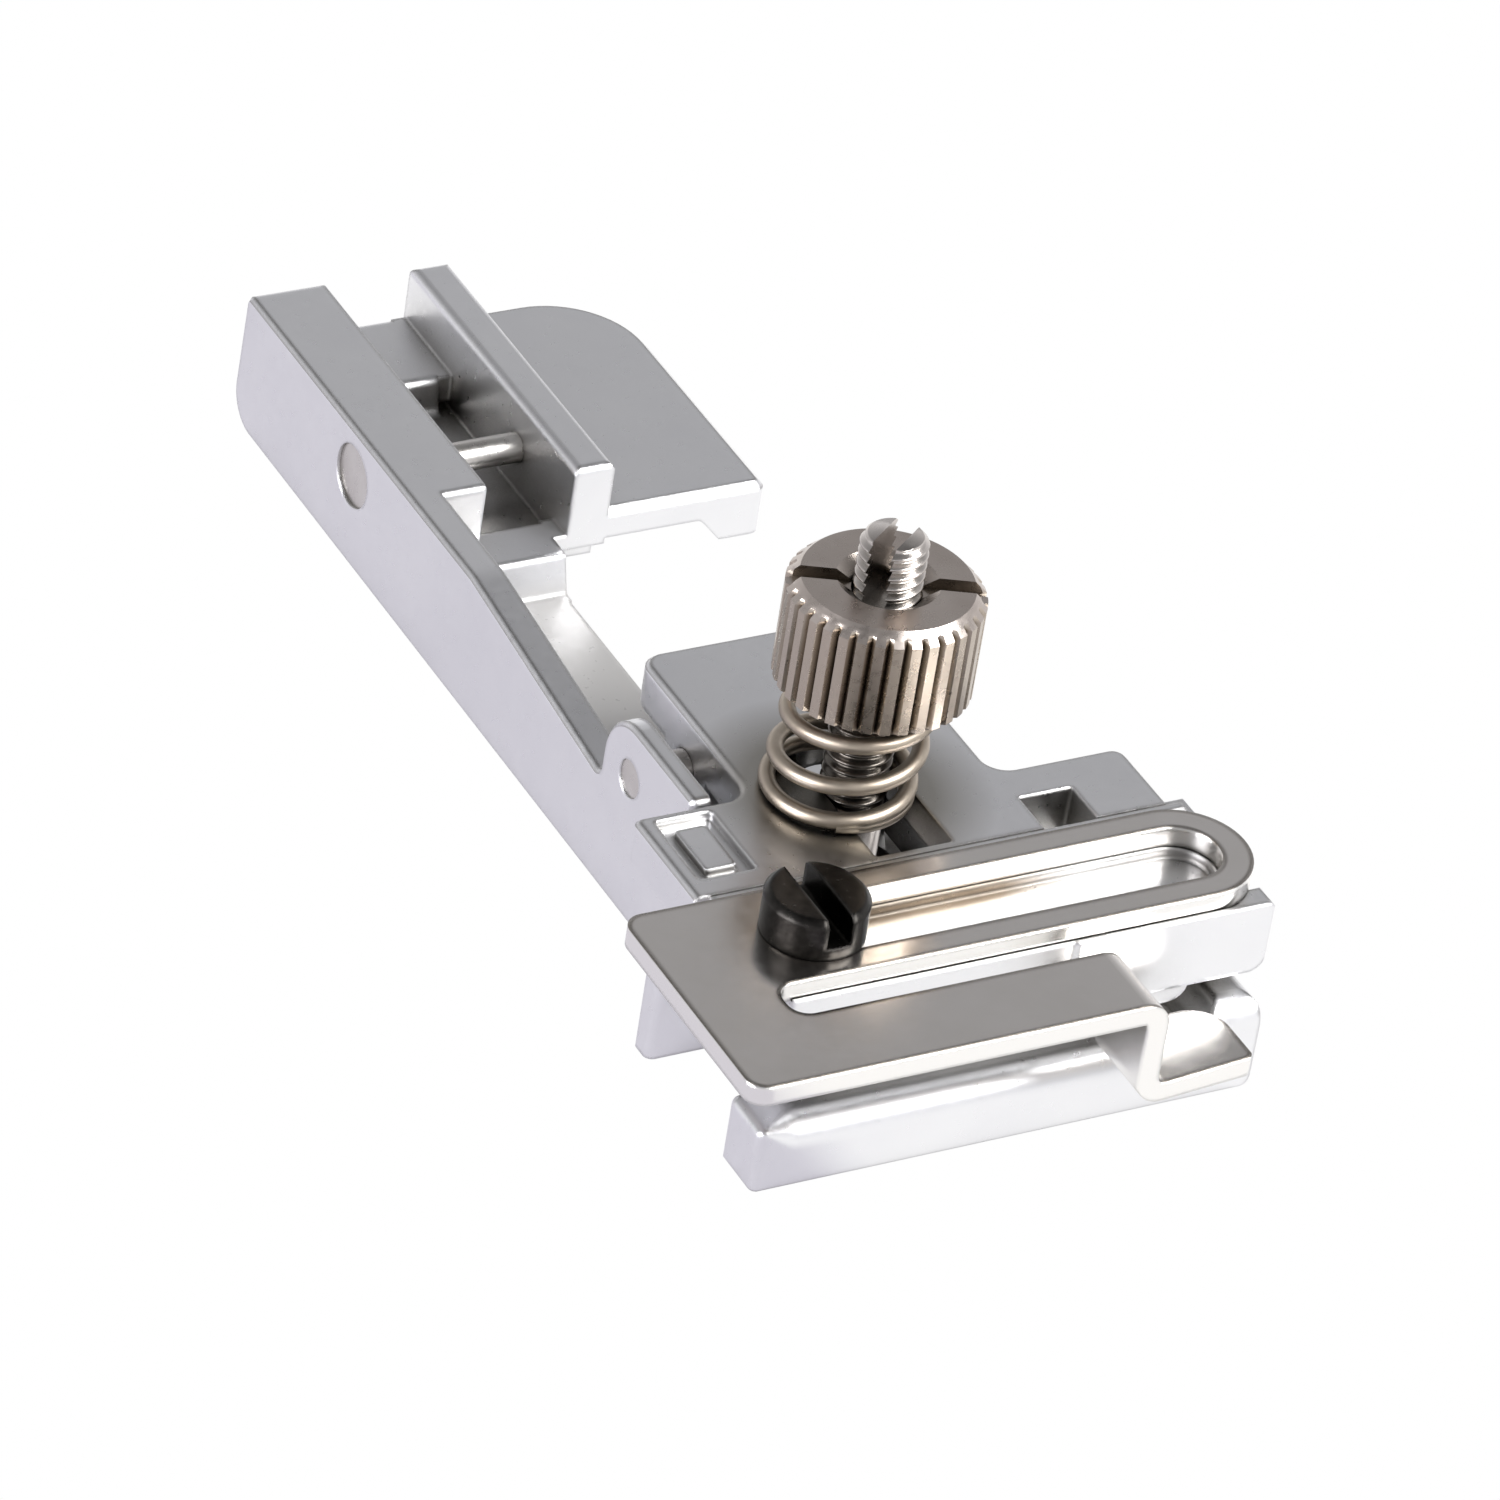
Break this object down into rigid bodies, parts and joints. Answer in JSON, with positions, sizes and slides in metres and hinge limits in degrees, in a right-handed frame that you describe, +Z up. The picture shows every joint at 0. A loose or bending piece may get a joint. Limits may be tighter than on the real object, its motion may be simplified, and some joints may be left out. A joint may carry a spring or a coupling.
{
  "type": "sewing machine presser foot",
  "caption": "Clip-on metal presser foot for an overlock machine, with a spring-loaded elastic feed lever, thumb nut and sliding guide.",
  "frame": {"origin": "on the sole plane, in the middle of the snap channel, below the snap bar's axis", "axes": "+X to the right across the foot, +Y to the rear along the rail, +Z up from the sole"},
  "size_m": [0.028, 0.0632, 0.0217],
  "materials": {
    "casting": "satin plated zinc casting",
    "nickel_sheet": "polished nickel plated steel sheet",
    "nickel_steel": "nickel plated turned steel",
    "spring_wire": "nickel plated spring wire",
    "black_screw": "black oxide"
  },
  "bodies": {
    "foot": {"foot_frame": "casting", "snap_bar": "nickel_steel", "hinge_pin": "nickel_steel", "tension_stud": "nickel_steel"},
    "lever": {"pressure_lever": "casting"},
    "guide": {"guide_plate": "nickel_sheet"},
    "lock_screw": {"guide_screw": "black_screw"},
    "spring": {"compression_spring": "spring_wire"},
    "nut": {"thumb_nut": "nickel_steel"}
  },
  "joints": [
    {"name": "lever_pivot", "type": "hinge", "parent": "foot", "child": "lever", "pos_m": [0, -0.02683, 0.00656], "axis": [-1, 0, 0], "range_deg": [0, 5], "stiffness_Nm_per_rad": 0.036, "springref_deg": -15.47, "deforming": ["compression_spring"]},
    {"name": "guide_slide", "type": "slide", "parent": "lever", "child": "guide", "axis": [-1, 0, 0], "range_m": [0, 0.0173]},
    {"name": "guide_screw_turn", "type": "hinge", "parent": "lever", "child": "lock_screw", "pos_m": [-0.00588, -0.04242, 0.01], "axis": [0, 0, 1], "range_deg": [0, 360]},
    {"name": "nut_travel", "type": "slide", "parent": "foot", "child": "spring", "axis": [0, 0, 1], "range_m": [-0.0015, 0.0015], "deforming": ["compression_spring"]},
    {"name": "nut_turn", "type": "hinge", "parent": "spring", "child": "nut", "pos_m": [0.00133, -0.0328, 0.0169], "axis": [0, 0, 1], "range_deg": [-1081, 1081]}
  ],
  "couplings": [
    {"joint": "nut_turn", "follows": "nut_travel", "rad_per_m": 12566}
  ]
}
